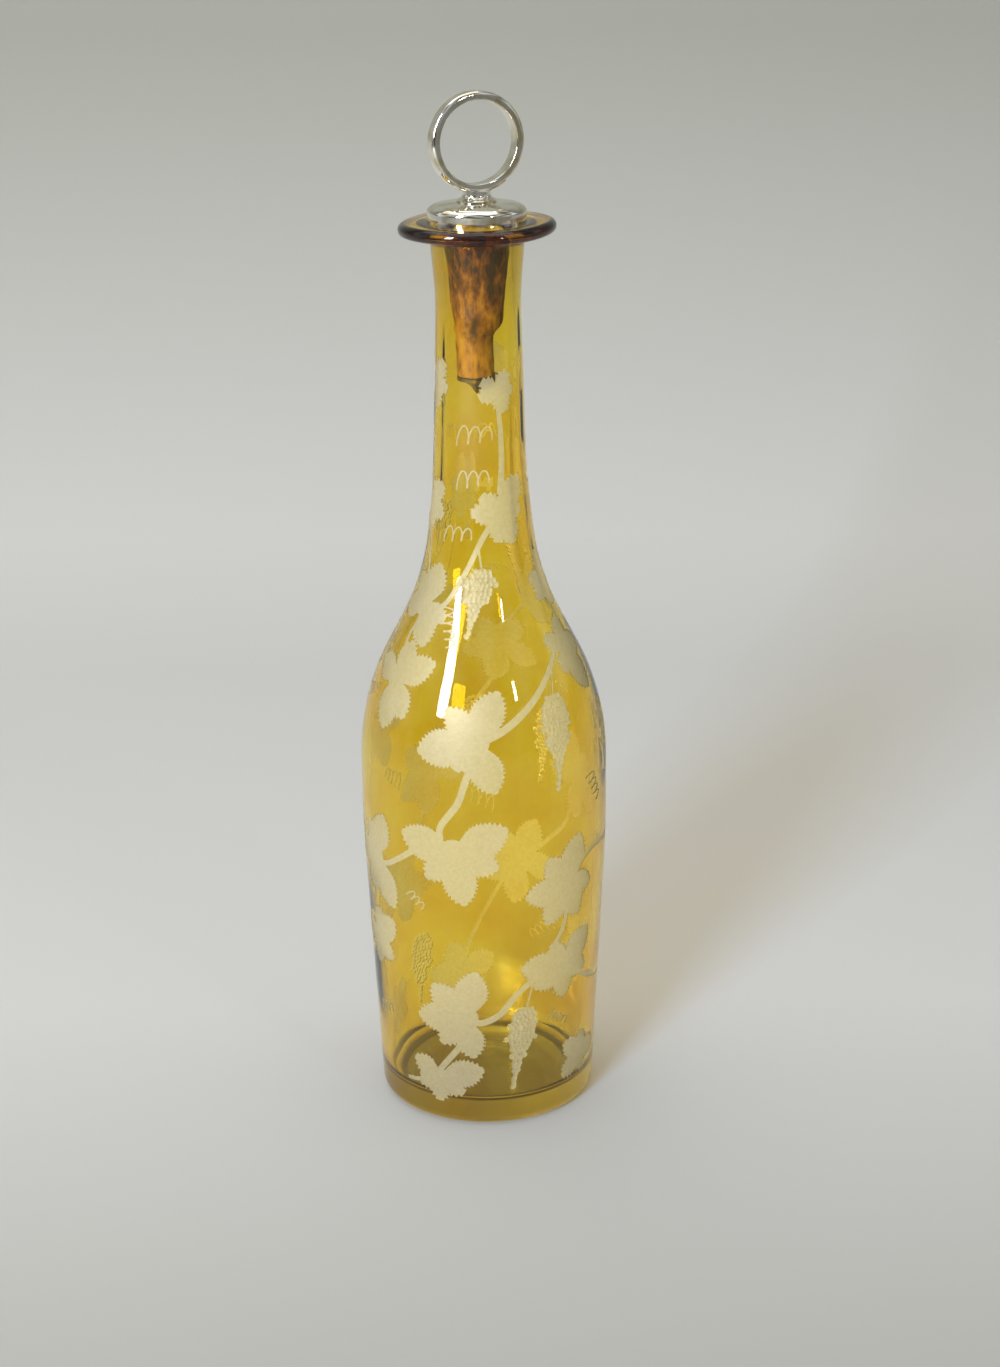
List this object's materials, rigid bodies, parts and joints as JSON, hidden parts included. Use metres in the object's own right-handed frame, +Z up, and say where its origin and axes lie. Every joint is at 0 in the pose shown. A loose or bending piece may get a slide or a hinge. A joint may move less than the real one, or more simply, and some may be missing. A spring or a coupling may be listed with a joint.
{
  "type": "decanter",
  "caption": "Tall slender glass decanter with a flat flanged lip, closed by a tapered cork stopper under a domed metal cap with a finger ring.",
  "frame": {"origin": "centre of the foot ring, on the surface that the decanter stands on", "axes": "+Z up the decanter's axis through the neck and the stopper; -Y faces the viewer, and the finger ring's face is turned 23 degrees from it about +Z"},
  "size_m": [0.0794, 0.0794, 0.3278],
  "materials": {
    "amber_glass": "clear glass stained amber on the outside, polished, with matt wheel engraving",
    "natural_cork": "natural bark cork, darkened by use",
    "silver_plate": "polished silver plate, lightly worn",
    "dull_steel": "dull tarnished steel"
  },
  "bodies": {
    "bottle": {"glass_bottle": "amber_glass"},
    "cork": {"cork": "natural_cork"},
    "fitting": {"finger_ring": "silver_plate", "ring_collar": "silver_plate", "dome_cap": "silver_plate", "cap_base_plate": "silver_plate", "threaded_rod": "dull_steel", "end_washer": "dull_steel", "cone_nut": "dull_steel"}
  },
  "joints": [
    {"name": "stopper_lift", "type": "slide", "parent": "bottle", "child": "cork", "axis": [0, 0, 1], "range_m": [0, 0.08]},
    {"name": "stopper_twist", "type": "hinge", "parent": "cork", "child": "fitting", "pos_m": [0, 0, 0.29], "axis": [0, 0, 1], "continuous": true}
  ]
}
